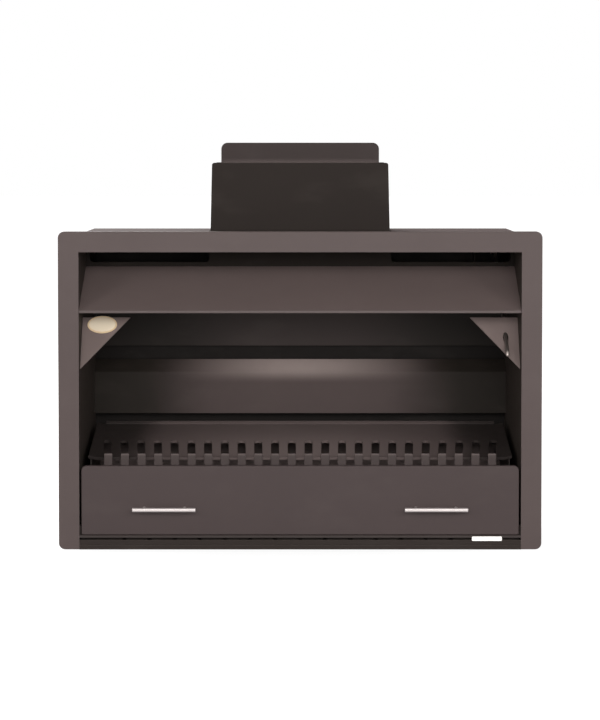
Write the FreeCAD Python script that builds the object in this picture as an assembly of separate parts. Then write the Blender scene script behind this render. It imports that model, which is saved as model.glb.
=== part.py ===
import FreeCAD, Part
import math
import os

Vector = FreeCAD.Vector

# Built-in open fireplace. Millimetres, +Z up, front towards -Y.
# A depth is measured backwards from the front face of the fascia.

# Casing and fascia
opening_width = 1052.0
fascia_rail = 49.0
fascia_height = 758.0
fascia_corner_radius = 15.0
fascia_return = 18.0
fold_radius = 2.5
casing_depth = 450.0
casing_drop = 8.0
casing_sheet = 3.0
lug_reach = 32.0
lug_height = 44.0
lug_hole_radius = 4.5
lug_low_height = 130.0
lug_spacing = 500.0

# Plinth, hearth and room-air inlet
plinth_height = 23.0
plinth_groove_height = 10.5
plinth_groove = 1.2
air_slit = 5.0
hearth_lip = 7.0
inlet_depth = 18.0
inlet_hole_radius = 7.0
inlet_hole_pitch = 60.0
regulator_sheet = 2.4
regulator_end_gap = 76.0
keeper_low_height = 5.0
keeper_depth = 3.0
tab_width = 71.0
tab_height = 10.6
tab_sheet = 3.0
tab_wall_gap = 81.5
tab_drop = 1.6
tab_stand_off = 2.0
tab_stem_width = 20.0
tab_stem_height = 3.0
tab_corner_radius = 2.0

# Drawer
drawer_side_gap = 5.0
drawer_height = 164.7
drawer_corner_radius = 12.0
drawer_bottom_radius = 3.0
drawer_panel_depth = 15.0
drawer_sheet = 3.0
tray_sheet = 2.0
tray_front_depth = 68.0
tray_front_drop = 26.7
tray_nose_height = 90.0
runner_leg = 20.0
runner_height = 22.0
runner_sheet = 3.0
slide_clearance = 0.3
guide_clearance = 0.5
pull_length = 150.0
pull_radius = 5.0
pull_edge_radius = 1.2
pull_post_spacing = 96.0
pull_post_radius = 4.0
pull_stand_off = 26.0
pull_inset = 198.0
pull_rise = 63.5
screw_radius = 2.0
screw_head_radius = 4.5
screw_head_height = 2.6
screw_clearance = 0.2

# Comb and grate
tooth_pitch = 40.2
tooth_width = 19.6
tooth_rise = 20.5
tooth_corner_radius = 2.0
tooth_notch_drop = 22.0
comb_sheet = 3.0
comb_base = 58.0
comb_end_margin = 12.0
grate_front_gap = 5.0
grate_front_rise = 10.0
grate_slope = 11.1
grate_length = 258.0
grate_sheet = 6.0
grate_bend_radius = 2.0
grate_rim = 7.0
grate_side_gap = 15.0
grate_strip = 22.0
grate_strip_rise = 3.6
slot_width = 19.6
slot_length = 127.0
slot_front_share = 1.0012
slot_far_share = 1.0272

# Hood and warm-air outlet
hood_lip_depth = 5.0
hood_drop = 145.0
hood_lip = 6.5
hood_rise = 95.5
hood_bend_radius = 2.0
outlet_depth = 185.0
outlet_slot_flue_gap = 3.0
outlet_slot_wall_gap = 10.0
outlet_sill = 10.5
outlet_slot_height = 37.5
outlet_slot_radius = 9.0
roof_tail = 7.0

# Fire back and smoke plate
back_gap = 47.0
back_low_height = 279.0
back_rise = 106.0
back_fold_reach = 30.0
back_fold_rise = 30.0
back_bend_radius = 3.0
rear_slot = 35.0
smoke_overlap = 5.0

# Corner gussets and badge
gusset_gap = 17.5
gusset_leg = 115.0
gusset_drop = 118.0
gusset_lean = 74.0
gusset_top_depth = 104.0
badge_width = 71.5
badge_height = 47.0
badge_thickness = 2.0
badge_edge_radius = 0.8
badge_wall_gap = 48.0
badge_drop = 17.0

# Flue stub
flue_width = 440.0
flue_depth = 205.0
flue_rise = 170.0
flue_taper = 4.0
flue_corner_radius = 6.0

# Damper
damper_axis_gap = 18.0
damper_axis_drop = 12.0
damper_lean = 3.0
damper_turn = 52.0
blade_side_gap = 17.0
blade_length = 235.0
blade_sheet = 3.0
blade_corner_radius = 16.0
hem_sheet = 2.0
shaft_radius = 5.0
shaft_fit = 0.05
shaft_end = 14.0
bush_sheet = 2.5
bush_flange = 2.0
bush_flange_width = 2.0
bush_seat_clearance = 0.1
bracket_gap = 40.0
bracket_width = 36.0
stop_drop = 24.0
stop_width = 24.0
stop_thickness = 8.0
stop_clearance = 0.3

# Crank, rod and handle
crank_radius = 40.0
crank_sheet = 6.0
crank_arm_width = 16.0
crank_hub_radius = 11.0
pin_radius = 4.0
pin_end = 2.0
rod_wall_gap = 31.0
rod_radius = 4.0
rod_hole_clearance = 2.5
roof_hole_clearance = 3.0
rod_hole_drop = 47.5
rod_reach = 57.5
rod_bend_radius = 9.0
rod_drop = 5.5
eye_sheet = 6.0
eye_wall = 6.0
eye_gap = 3.0
eye_slot_clearance = 0.6
eye_slot_spare = 2.0

# One overrun serves all cuts
overrun = 5.0

# Places in the casing that follow from the sizes above
opening_half = opening_width / 2
fascia_half = opening_half + fascia_rail
casing_half = opening_half + casing_sheet
casing_height = fascia_height - casing_drop
pull_reach = pull_stand_off + pull_radius
front_y = (pull_reach - casing_depth) / 2
casing_back = casing_depth - casing_sheet
top_bottom = casing_height - casing_sheet
hearth_bottom = plinth_height + air_slit
hearth_top = hearth_bottom + hearth_lip
hearth_under = hearth_top - casing_sheet
regulator_length = opening_width - 2 * regulator_end_gap
inlet_hole_count = int(regulator_length / inlet_hole_pitch)
tab_centre = opening_half - tab_wall_gap

# Places in the drawer, the comb and the grate
drawer_half = opening_half - drawer_side_gap
drawer_bottom = hearth_top + slide_clearance
drawer_top = drawer_bottom + drawer_height
pull_offset = drawer_half - pull_inset
pull_height = drawer_bottom + pull_rise
tray_half = opening_half - runner_leg - guide_clearance
tray_floor = drawer_bottom + tray_sheet
tray_front_top = drawer_top - tray_front_drop
slope = math.radians(grate_slope)
grate_front_depth = tray_front_depth + tray_sheet + grate_front_gap
grate_front_height = drawer_top + grate_front_rise
grate_rear_depth = grate_front_depth + grate_length * math.cos(slope)
grate_drop = grate_sheet / math.cos(slope)
grate_half_width = opening_half - grate_side_gap
grate_crease_half_width = grate_half_width - grate_strip
tooth_count = int(2 * grate_crease_half_width / tooth_pitch)
tooth_top_height = drawer_top + tooth_rise
tooth_notch_height = drawer_top - tooth_notch_drop
comb_low_height = tooth_notch_height - comb_base
tray_back = grate_rear_depth - grate_sheet

# Places round the hood, the fire back and the flue
hood_lip_height = fascia_height - fascia_rail - hood_drop
hood_top_height = hood_lip_height + hood_lip + hood_rise
roof_top = hood_top_height
roof_bottom = roof_top - casing_sheet
flue_half = flue_width / 2
flue_front = outlet_depth + casing_sheet
flue_back = flue_front + flue_depth
flue_top_height = casing_height + flue_rise
roof_depth = flue_back + roof_tail
outlet_slot_inner = flue_half + outlet_slot_flue_gap
outlet_slot_outer = opening_half - outlet_slot_wall_gap
outlet_slot_low = hood_top_height + outlet_sill
outlet_slot_high = outlet_slot_low + outlet_slot_height
back_face_depth = casing_back - back_gap
hearth_depth = back_face_depth
back_fold_height = back_low_height + back_rise
back_top_depth = back_face_depth + back_fold_reach
back_top_height = back_fold_height + back_fold_rise
smoke_low_depth = back_top_depth - smoke_overlap
smoke_low_height = back_top_height + rear_slot
gusset_top_height = hood_lip_height - gusset_gap
gusset_tip_height = gusset_top_height - gusset_drop
gusset_tip_depth = gusset_top_depth - gusset_lean
badge_centre = opening_half - badge_wall_gap
badge_centre_height = gusset_top_height - badge_drop

# Places of the damper and its rod
damper_axis_depth = flue_back - casing_sheet - damper_axis_gap
damper_axis_height = top_bottom - damper_axis_drop
blade_width = flue_width - 2 * (casing_sheet + blade_side_gap)
stop_height = flue_top_height - stop_drop
rod_position = opening_half - rod_wall_gap
rod_hole_height = gusset_top_height - rod_hole_drop
crank_inner = rod_position - eye_sheet / 2 - eye_gap - crank_sheet
crank_outer = crank_inner + crank_sheet
bracket_position = crank_inner - bracket_gap - casing_sheet
half_turn = math.radians(damper_turn) / 2


def box(x_low, x_high, depth_low, depth_high, z_low, z_high):
    """Block between two corners, with its depths taken from the fascia front."""
    corner = Vector(x_low, front_y + depth_low, z_low)
    return Part.makeBox(x_high - x_low, depth_high - depth_low, z_high - z_low, corner)


def rod_along(start, end, radius):
    """Round bar from one point to another."""
    run = end - start
    return Part.makeCylinder(radius, run.Length, start, run)


def at_front(depth):
    """Places an (x, z) point on the upright plane at a depth."""
    return lambda point: Vector(point.x, front_y + depth, point.y)


def at_side(position):
    """Places a (depth, z) point on the upright plane at a sideways position."""
    return lambda point: Vector(position, front_y + point.x, point.y)


def corner_arc(before, corner, after, radius):
    """Start, middle and end of the arc that rounds a corner."""
    towards = (before - corner).normalize()
    away = (after - corner).normalize()
    half = towards.getAngle(away) / 2
    reach = radius / math.tan(half)
    bisector = (towards + away).normalize()
    middle = corner + bisector * (radius / math.sin(half) - radius)
    return corner + towards * reach, middle, corner + away * reach


def outline(points, radii, place):
    """Closed face through flat points, each corner rounded by its own radius."""
    flat = [Vector(first, second, 0) for first, second in points]
    stops = []
    for index, corner in enumerate(flat):
        if radii[index] > 0:
            after = flat[(index + 1) % len(flat)]
            stops.append(corner_arc(flat[index - 1], corner, after, radii[index]))
        else:
            stops.append((corner,))
    edges = []
    for index, stop in enumerate(stops):
        if len(stop) > 1:
            edges.append(Part.Arc(*[place(point) for point in stop]).toShape())
        following = stops[(index + 1) % len(stops)]
        edges.append(Part.LineSegment(place(stop[-1]), place(following[0])).toShape())
    return Part.Face(Part.Wire(edges))


def front_plate(points, radii, depth, thickness):
    """Upright plate that faces the front, from an outline in x and z."""
    return outline(points, radii, at_front(depth)).extrude(Vector(0, thickness, 0))


def side_plate(points, position, thickness):
    """Plate that faces sideways, from a sharp outline in depth and z."""
    face = outline(points, [0] * len(points), at_side(position))
    return face.extrude(Vector(thickness, 0, 0))


def rectangle(half_width, low, high):
    """Corner points of a rectangle about the middle plane, from lower left."""
    return [(-half_width, low), (half_width, low), (half_width, high), (-half_width, high)]


def right_normal(direction):
    """Unit vector to the right of a flat direction."""
    return Vector(direction.y, -direction.x, 0).normalize()


def folded_sheet(points, thickness, bend_radius, place, width):
    """Sheet folded along a flat line; its thickness lies to the right of the line.

    The inside of every fold has the bend radius.
    """
    flat = [Vector(first, second, 0) for first, second in points]
    near = []
    far = []
    for index, corner in enumerate(flat):
        if index in (0, len(flat) - 1):
            run = flat[1] - flat[0] if index == 0 else flat[-1] - flat[-2]
            near.append((corner,))
            far.append((corner + right_normal(run) * thickness,))
            continue
        run_in = corner - flat[index - 1]
        run_out = flat[index + 1] - corner
        turns_right = run_in.cross(run_out).z < 0
        radius = bend_radius + thickness if turns_right else bend_radius
        arc = corner_arc(flat[index - 1], corner, flat[index + 1], radius)
        normal_in = right_normal(run_in)
        normal_out = right_normal(run_out)
        normal_middle = (normal_in + normal_out).normalize()
        normals = (normal_in, normal_middle, normal_out)
        near.append(arc)
        far.append(tuple(point + normal * thickness for point, normal in zip(arc, normals)))
    back = [tuple(reversed(stop)) for stop in reversed(far)]
    edges = []
    last = None
    for stop in near + back:
        if last is not None:
            edges.append(Part.LineSegment(place(last), place(stop[0])).toShape())
        if len(stop) > 1:
            edges.append(Part.Arc(*[place(point) for point in stop]).toShape())
        last = stop[-1]
    edges.append(Part.LineSegment(place(last), place(near[0][0])).toShape())
    return Part.Face(Part.Wire(edges)).extrude(Vector(width, 0, 0))


def rounded_front(shape):
    """Rounds the edges round the front face, as a folded sheet has them."""
    rim = [edge for edge in shape.Edges if edge.BoundBox.YMax < front_y + fold_radius]
    return shape.makeFillet(fold_radius, rim)


def mirrored(shape):
    """The same piece on the other side of the middle plane."""
    return shape.mirror(Vector(0, 0, 0), Vector(1, 0, 0))


def fascia_blank():
    """Outline of the whole fascia as a block, with its front edge rounded."""
    outer = rectangle(fascia_half, 0, fascia_height)
    return rounded_front(front_plate(outer, [fascia_corner_radius] * 4, 0, fascia_return))


def fascia_frame():
    """Flat frame of a top rail and two legs."""
    behind = box(-fascia_half, fascia_half, casing_sheet, fascia_return, 0, fascia_height)
    opening = box(-opening_half, opening_half, -overrun, fascia_return + overrun,
                  -overrun, fascia_height - fascia_rail)
    return fascia_blank().cut([behind, opening])


def fascia_edge():
    """Strip that runs back from the fascia's right leg to the wall."""
    low = fascia_corner_radius
    high = fascia_height - fascia_corner_radius
    return box(fascia_half - casing_sheet, fascia_half, casing_sheet, fascia_return, low, high)


def fascia_edge_top():
    """Strip that runs back from the top rail, with both rounded corners."""
    inner = rectangle(fascia_half - casing_sheet, casing_sheet, fascia_height - casing_sheet)
    inner_radii = [fascia_corner_radius - casing_sheet] * 4
    pocket = front_plate(inner, inner_radii, 0, fascia_return)
    front = box(-fascia_half, fascia_half, 0, casing_sheet, 0, fascia_height)
    below = box(-fascia_half, fascia_half, 0, fascia_return, 0, fascia_height - fascia_corner_radius)
    return fascia_blank().cut([pocket, front, below])


def side_panel():
    """Right-hand wall of the casing and the firebox."""
    return box(opening_half, casing_half, casing_sheet, casing_back, 0, top_bottom)


def casing_top():
    """Top plate, with the cut-out for the flue stub."""
    plate = box(-casing_half, casing_half, casing_sheet, casing_back, top_bottom, casing_height)
    return plate.cut(box(-flue_half, flue_half, flue_front, flue_back,
                         top_bottom - overrun, casing_height + overrun))


def back_panel():
    """Rear wall of the casing."""
    return box(-casing_half, casing_half, casing_back, casing_depth, 0, casing_height)


def base_plate():
    """Floor plate that the casing stands on."""
    return box(-opening_half, opening_half, casing_sheet, casing_back, 0, casing_sheet)


def wall_lugs():
    """Four lugs at the back corners, with holes for fixing to masonry."""
    lugs = []
    for low in (lug_low_height, lug_low_height + lug_spacing):
        lug = box(casing_half, casing_half + lug_reach, casing_back, casing_depth, low, low + lug_height)
        centre = Vector(casing_half + lug_reach / 2, front_y + casing_back - overrun, low + lug_height / 2)
        drill = Part.makeCylinder(lug_hole_radius, casing_sheet + 2 * overrun, centre, Vector(0, 1, 0))
        lug = lug.cut(drill)
        lugs += [lug, mirrored(lug)]
    return Part.makeCompound(lugs)


def plinth():
    """Front strip under the air slit, with one groove along it."""
    strip = box(-opening_half, opening_half, 0, casing_sheet, 0, plinth_height)
    groove = box(-opening_half - overrun, opening_half + overrun, -overrun, plinth_groove,
                 plinth_groove_height, plinth_groove_height + plinth_groove)
    return strip.cut(groove)


def hearth_plate():
    """Plate under the drawer, folded down at the front over the air slit."""
    line = [(0, hearth_bottom), (0, hearth_top), (hearth_depth, hearth_top)]
    return folded_sheet(line, casing_sheet, hood_bend_radius, at_side(-opening_half), opening_width)


def hole_row(depth, thickness):
    """Cutters for the row of air holes, as a list."""
    middle = (casing_sheet + hearth_under) / 2
    start = -inlet_hole_pitch * (inlet_hole_count - 1) / 2
    cutters = []
    for index in range(inlet_hole_count):
        centre = Vector(start + index * inlet_hole_pitch, front_y + depth - overrun, middle)
        reach = thickness + 2 * overrun
        cutters.append(Part.makeCylinder(inlet_hole_radius, reach, centre, Vector(0, 1, 0)))
    return cutters


def air_inlet_plate():
    """Upright plate behind the slit, with a row of air holes."""
    plate = box(-opening_half, opening_half, inlet_depth, inlet_depth + casing_sheet,
                casing_sheet, hearth_under)
    return plate.cut(hole_row(inlet_depth, casing_sheet))


def regulator_front():
    """Depth of the front face of the regulator slide."""
    return inlet_depth - slide_clearance - regulator_sheet


def air_regulator():
    """Slide plate whose holes line up with those of the inlet plate when open."""
    front = regulator_front()
    plate = box(-regulator_length / 2, regulator_length / 2, front, front + regulator_sheet,
                casing_sheet + slide_clearance, hearth_under - slide_clearance)
    return plate.cut(hole_row(front, regulator_sheet))


def regulator_keepers():
    """Two strips that hold the regulator slide against the inlet plate."""
    back = regulator_front() - slide_clearance
    front = back - keeper_depth
    low = box(-opening_half, opening_half, front, back, casing_sheet, casing_sheet + keeper_low_height)
    high = box(-opening_half, opening_half, front, back, hearth_bottom + air_slit_spare(), hearth_under)
    return Part.makeCompound([low, high])


def air_slit_spare():
    """Room left above the stem of the regulator tab."""
    return (air_slit - tab_stem_height) / 2


def regulator_tab():
    """Push tab in front of the slit, on a stem that reaches the slide."""
    low = plinth_height - tab_drop
    left = tab_centre - tab_width / 2
    right = tab_centre + tab_width / 2
    points = [(left, low), (right, low), (right, low + tab_height), (left, low + tab_height)]
    face = front_plate(points, [tab_corner_radius] * 4, -tab_stand_off - tab_sheet, tab_sheet)
    stem_low = plinth_height + air_slit_spare()
    stem = box(tab_centre - tab_stem_width / 2, tab_centre + tab_stem_width / 2,
               -tab_stand_off, regulator_front(), stem_low, stem_low + tab_stem_height)
    return face.fuse(stem).removeSplitter()


def pull_posts():
    """Sideways positions of the four posts of the pulls."""
    half = pull_post_spacing / 2
    return [side * pull_offset + end * half for side in (-1, 1) for end in (-1, 1)]


def drawer_front():
    """Pan-shaped front panel with rounded top corners."""
    outer = rectangle(drawer_half, drawer_bottom, drawer_top)
    radii = [drawer_bottom_radius, drawer_bottom_radius, drawer_corner_radius, drawer_corner_radius]
    panel = rounded_front(front_plate(outer, radii, 0, drawer_panel_depth))
    inner = rectangle(drawer_half - drawer_sheet, drawer_bottom + drawer_sheet, drawer_top - drawer_sheet)
    top_radius = drawer_corner_radius - drawer_sheet
    pocket = front_plate(inner, [0, 0, top_radius, top_radius], drawer_sheet, drawer_panel_depth)
    panel = panel.cut(pocket)
    for position in pull_posts():
        start = Vector(position, front_y - overrun, pull_height)
        panel = panel.cut(Part.makeCylinder(screw_radius + screw_clearance, drawer_sheet + 2 * overrun,
                                            start, Vector(0, 1, 0)))
    return panel


def bar_pull(centre):
    """Round bar on two posts."""
    axis_y = front_y - pull_stand_off
    start = Vector(centre - pull_length / 2, axis_y, pull_height)
    bar = Part.makeCylinder(pull_radius, pull_length, start, Vector(1, 0, 0))
    rims = [edge for edge in bar.Edges if isinstance(edge.Curve, Part.Circle)]
    bar = bar.makeFillet(pull_edge_radius, rims)
    for end in (-1, 1):
        foot = Vector(centre + end * pull_post_spacing / 2, front_y, pull_height)
        bar = bar.fuse(Part.makeCylinder(pull_post_radius, pull_stand_off, foot, Vector(0, -1, 0)))
    return bar.removeSplitter()


def pull_screws():
    """Screws that hold the pulls, from inside the drawer front."""
    screws = []
    for position in pull_posts():
        start = Vector(position, front_y, pull_height)
        head = Vector(position, front_y + drawer_sheet, pull_height)
        shank = Part.makeCylinder(screw_radius, drawer_sheet, start, Vector(0, 1, 0))
        cap = Part.makeCylinder(screw_head_radius, screw_head_height, head, Vector(0, 1, 0))
        screws.append(shank.fuse(cap).removeSplitter())
    return Part.makeCompound(screws)


def strip_rise(position):
    """Height of the grate's turned-up side strip over its plane at a sideways position."""
    strip_width = grate_half_width - grate_crease_half_width
    return grate_strip_rise * (position - grate_crease_half_width) / strip_width


def grate_under(depth):
    """Height of the grate's underside on the middle part at a depth."""
    return grate_front_height + (depth - grate_front_depth) * math.tan(slope) - grate_drop


def tray_floor_plate():
    """Floor of the ash tray, which also carries the drawer front."""
    return box(-tray_half, tray_half, drawer_panel_depth, tray_back, drawer_bottom, tray_floor)


def tray_side():
    """Right side of the ash tray, whose sloping top edge carries the grate."""
    inside = tray_half - tray_sheet
    seat = strip_rise(inside) - slide_clearance / math.cos(slope)
    points = [(drawer_panel_depth, tray_floor), (tray_back, tray_floor),
              (tray_back, grate_under(tray_back) + seat),
              (grate_front_depth, grate_under(grate_front_depth) + seat),
              (tray_front_depth, tray_front_top),
              (drawer_panel_depth, drawer_bottom + tray_nose_height)]
    return side_plate(points, inside, tray_sheet)


def tray_wall(depth, high):
    """Cross wall of the ash tray, from its floor up."""
    inside = tray_half - tray_sheet
    return box(-inside, inside, depth, depth + tray_sheet, tray_floor, high)


def tray_front_wall():
    """Cross wall behind the drawer front, which the comb is fixed to."""
    return tray_wall(tray_front_depth, tray_front_top)


def tray_rear_wall():
    """Cross wall under the rear of the grate."""
    depth = tray_back - tray_sheet
    return tray_wall(depth, grate_under(depth) - slide_clearance / math.cos(slope))


def grate_comb():
    """Upright comb in front of the grate, fixed to the tray's inner front wall."""
    half = tooth_pitch * (tooth_count - 1) / 2 + tooth_width / 2 + comb_end_margin
    depth = tray_front_depth - comb_sheet
    comb = front_plate(rectangle(half, comb_low_height, tooth_notch_height), [0] * 4, depth, comb_sheet)
    teeth = []
    for index in range(tooth_count):
        centre = tooth_pitch * (index - (tooth_count - 1) / 2)
        left = centre - tooth_width / 2
        right = centre + tooth_width / 2
        points = [(left, tooth_notch_height), (right, tooth_notch_height),
                  (right, tooth_top_height), (left, tooth_top_height)]
        radii = [0, 0, tooth_corner_radius, tooth_corner_radius]
        teeth.append(front_plate(points, radii, depth, comb_sheet))
    return comb.fuse(teeth).removeSplitter()


def flat_slot(index):
    """Cutter for one grate slot in the plane of the flat grate, open at the front."""
    step = index - (tooth_count - 1) / 2
    near = step * tooth_pitch * slot_front_share
    far = step * tooth_pitch * slot_far_share
    half = slot_width / 2
    straight = slot_length - half
    low = -grate_sheet - overrun
    corners = [Vector(near - half, -overrun, low), Vector(near + half, -overrun, low),
               Vector(far + half, straight, low), Vector(far - half, straight, low)]
    edges = [Part.LineSegment(corners[0], corners[1]).toShape(),
             Part.LineSegment(corners[1], corners[2]).toShape(),
             Part.Arc(corners[2], Vector(far, slot_length, low), corners[3]).toShape(),
             Part.LineSegment(corners[3], corners[0]).toShape()]
    depth = grate_sheet + grate_rim + 2 * overrun
    return Part.Face(Part.Wire(edges)).extrude(Vector(0, 0, depth))


def grate():
    """Slotted plate with a rear rim and turned-up side strips, laid on its slope."""
    line = [(0, 0), (grate_length, 0), (grate_length, grate_rim)]
    half = grate_crease_half_width

    def lay_flat(point):
        return Vector(-half, point.x, point.y)

    plate = folded_sheet(line, grate_sheet, grate_bend_radius, lay_flat, 2 * half)
    corners = [Vector(half, 0, 0), Vector(grate_half_width, 0, grate_strip_rise),
               Vector(grate_half_width, 0, grate_strip_rise - grate_sheet), Vector(half, 0, -grate_sheet)]
    strip = Part.Face(Part.makePolygon(corners + corners[:1]))
    strip = strip.extrude(Vector(0, grate_length, 0))
    plate = plate.fuse([strip, mirrored(strip)])
    plate = plate.cut([flat_slot(index) for index in range(tooth_count)])
    plate.rotate(Vector(0, 0, 0), Vector(1, 0, 0), grate_slope)
    plate.translate(Vector(0, front_y + grate_front_depth, grate_front_height))
    return plate


def drawer_runner():
    """Right-hand angle that guides the tray along the side panel."""
    inner = opening_half - runner_leg
    low = box(inner, opening_half, drawer_panel_depth, hearth_depth, hearth_top, hearth_top + runner_sheet)
    wall = box(opening_half - runner_sheet, opening_half, casing_sheet, hearth_depth,
               hearth_top, hearth_top + runner_height)
    return low.fuse(wall).removeSplitter()


def hood():
    """Slanted hood sheet with an upright lower lip, trimmed at the outlet panel."""
    line = [(hood_lip_depth, hood_lip_height), (hood_lip_depth, hood_lip_height + hood_lip),
            (outlet_depth, hood_top_height)]
    sheet = folded_sheet(line, casing_sheet, hood_bend_radius, at_side(-opening_half), opening_width)
    behind = box(-casing_half, casing_half, outlet_depth, outlet_depth + casing_depth,
                 hood_lip_height, fascia_height)
    return sheet.cut(behind)


def air_outlet_panel():
    """Upright panel above the hood with two warm-air slots."""
    panel = box(-opening_half, opening_half, outlet_depth, flue_front, roof_bottom, top_bottom)
    points = [(outlet_slot_inner, outlet_slot_low), (outlet_slot_outer, outlet_slot_low),
              (outlet_slot_outer, outlet_slot_high), (outlet_slot_inner, outlet_slot_high)]
    slot = front_plate(points, [outlet_slot_radius] * 4, outlet_depth - overrun, casing_sheet + 2 * overrun)
    return panel.cut([slot, mirrored(slot)])


def firebox_roof():
    """Plate over the firebox, open at the flue and at the damper rod."""
    plate = box(-opening_half, opening_half, flue_front, roof_depth, roof_bottom, roof_top)
    plate = plate.cut(box(-flue_half, flue_half, flue_front - overrun, flue_back,
                          roof_bottom - overrun, roof_top + overrun))
    return plate.cut(rod_path(rod_radius + roof_hole_clearance))


def fire_back():
    """Upright back plate whose top folds away to the rear."""
    line = [(back_face_depth, back_low_height), (back_face_depth, back_fold_height),
            (back_top_depth, back_top_height)]
    return folded_sheet(line, casing_sheet, back_bend_radius, at_side(-opening_half), opening_width)


def smoke_plate():
    """Upper rear plate that leads to the back of the flue, trimmed under the roof."""
    line = [(smoke_low_depth, smoke_low_height), (flue_back, roof_top)]
    sheet = folded_sheet(line, casing_sheet, back_bend_radius, at_side(-opening_half), opening_width)
    above = box(-casing_half, casing_half, 0, casing_depth, roof_bottom, casing_height)
    return sheet.cut(above)


def gusset_plane():
    """Top corner, tip and outward normal of the right gusset."""
    top = Vector(opening_half, front_y + gusset_top_depth, gusset_top_height)
    tip = Vector(opening_half, front_y + gusset_tip_depth, gusset_tip_height)
    down = (tip - top).normalize()
    normal = down.cross(Vector(1, 0, 0))
    return top, tip, normal


def gusset():
    """Right-hand triangular plate across the corner of the opening."""
    top, tip, normal = gusset_plane()
    inner = top - Vector(gusset_leg, 0, 0)
    face = Part.Face(Part.makePolygon([top, inner, tip, top]))
    return face.extrude(normal * -casing_sheet)


def gusset_right():
    """Right gusset, with the hole that the damper rod runs in."""
    return gusset().cut(rod_path(rod_radius + rod_hole_clearance))


def badge_plate():
    """Blank oval plate on the face of the left gusset."""
    top, tip, normal = gusset_plane()
    share = (gusset_top_height - badge_centre_height) / (gusset_top_height - gusset_tip_height)
    centre = top + (tip - top) * share
    centre.x = -badge_centre
    ring = Part.Ellipse(Vector(0, 0, 0), badge_width / 2, badge_height / 2).toShape()
    plate = Part.Face(Part.Wire(ring)).extrude(Vector(0, 0, badge_thickness))
    front_edge = [edge for edge in plate.Edges if edge.BoundBox.ZMin > badge_thickness / 2]
    plate = plate.makeFillet(badge_edge_radius, front_edge)
    turn = FreeCAD.Rotation(Vector(1, 0, 0), Vector(0, 0, 1), normal, "XZY")
    plate.Placement = FreeCAD.Placement(centre, turn)
    return plate


def flue_stub():
    """Rectangular outlet that stands up through the casing top and narrows a little."""
    def section(inset, low, high, radius):
        half = flue_half - inset
        points = [(-half, low), (half, low), (half, casing_height), (half - flue_taper, high),
                  (-half + flue_taper, high), (-half, casing_height)]
        return points, [0, 0, 0, radius, radius, 0]

    points, radii = section(0, roof_bottom, flue_top_height, flue_corner_radius)
    outer = front_plate(points, radii, flue_front, flue_depth)
    points, radii = section(casing_sheet, roof_bottom - overrun, flue_top_height + overrun, 0)
    inner = front_plate(points, radii, flue_front + casing_sheet, flue_depth - 2 * casing_sheet)
    start = Vector(-flue_half - overrun, front_y + damper_axis_depth, damper_axis_height)
    seat = Part.makeCylinder(bush_radius() + bush_seat_clearance, flue_width + 2 * overrun,
                             start, Vector(1, 0, 0))
    return outer.cut([inner, seat])


def bush_radius():
    """Outer radius of the body of a damper bush."""
    return shaft_radius + shaft_fit + bush_sheet


def axis_point(position):
    """Point of the damper axis at a sideways position."""
    return Vector(position, front_y + damper_axis_depth, damper_axis_height)


def bush(wall_outside, side):
    """Flanged bush in a wall, with its flange against the outside of the wall."""
    along = Vector(side, 0, 0)
    inside = axis_point(wall_outside - side * casing_sheet)
    body = Part.makeCylinder(bush_radius(), casing_sheet, inside, along)
    rim = Part.makeCylinder(bush_radius() + bush_flange_width, bush_flange, axis_point(wall_outside), along)
    bore = Part.makeCylinder(shaft_radius + shaft_fit, casing_sheet + bush_flange + 2 * overrun,
                             axis_point(wall_outside - side * (casing_sheet + overrun)), along)
    return body.fuse(rim).cut(bore).removeSplitter()


def damper_bushes():
    """Bushes in both flue walls and in the outer bracket."""
    return Part.makeCompound([bush(flue_half, 1), bush(-flue_half, -1),
                              bush(bracket_position + casing_sheet, 1)])


def shaft_bracket():
    """Upright bracket on the firebox roof that carries the outer end of the shaft."""
    half = bracket_width / 2
    plate = box(bracket_position, bracket_position + casing_sheet, damper_axis_depth - half,
                damper_axis_depth + half, roof_top, top_bottom)
    drill = Part.makeCylinder(bush_radius() + bush_seat_clearance, casing_sheet + 2 * overrun,
                              axis_point(bracket_position - overrun), Vector(1, 0, 0))
    return plate.cut(drill)


def damper_shaft():
    """Shaft through the flue, out to the crank."""
    start = -flue_half - bush_flange - shaft_end
    return Part.makeCylinder(shaft_radius, crank_outer - start, axis_point(start), Vector(1, 0, 0))


def lean(shape):
    """Turns a piece that was made upright on the damper axis back to its resting lean."""
    shape.rotate(axis_point(0), Vector(1, 0, 0), -damper_lean)
    return shape


def damper_blade():
    """Blade whose lower edge is rolled round the shaft."""
    hem_radius = shaft_radius + shaft_fit + hem_sheet
    half = blade_width / 2
    points = [(-half, damper_axis_height), (half, damper_axis_height),
              (half, damper_axis_height + blade_length), (-half, damper_axis_height + blade_length)]
    radii = [0, 0, blade_corner_radius, blade_corner_radius]
    plate = front_plate(points, radii, damper_axis_depth - blade_sheet / 2, blade_sheet)
    hem = Part.makeCylinder(hem_radius, blade_width, axis_point(-half), Vector(1, 0, 0))
    bore = Part.makeCylinder(shaft_radius + shaft_fit, blade_width + 2 * overrun,
                             axis_point(-half - overrun), Vector(1, 0, 0))
    return lean(plate.fuse(hem).cut(bore).removeSplitter())


def damper_stop():
    """Block on the rear flue wall that the open blade leans on."""
    rise = stop_height - damper_axis_height
    tilt = math.radians(damper_lean)
    blade_back = damper_axis_depth + rise * math.tan(tilt) + blade_sheet / 2 / math.cos(tilt)
    low = rise - stop_thickness / 2
    high = rise + stop_thickness / 2
    face_low = blade_back + stop_clearance - stop_thickness / 2 * math.tan(tilt)
    face_high = blade_back + stop_clearance + stop_thickness / 2 * math.tan(tilt)
    wall = flue_back - casing_sheet
    points = [(face_low, damper_axis_height + low), (wall, damper_axis_height + low),
              (wall, damper_axis_height + high), (face_high, damper_axis_height + high)]
    return side_plate(points, -stop_width / 2, stop_width)


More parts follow.
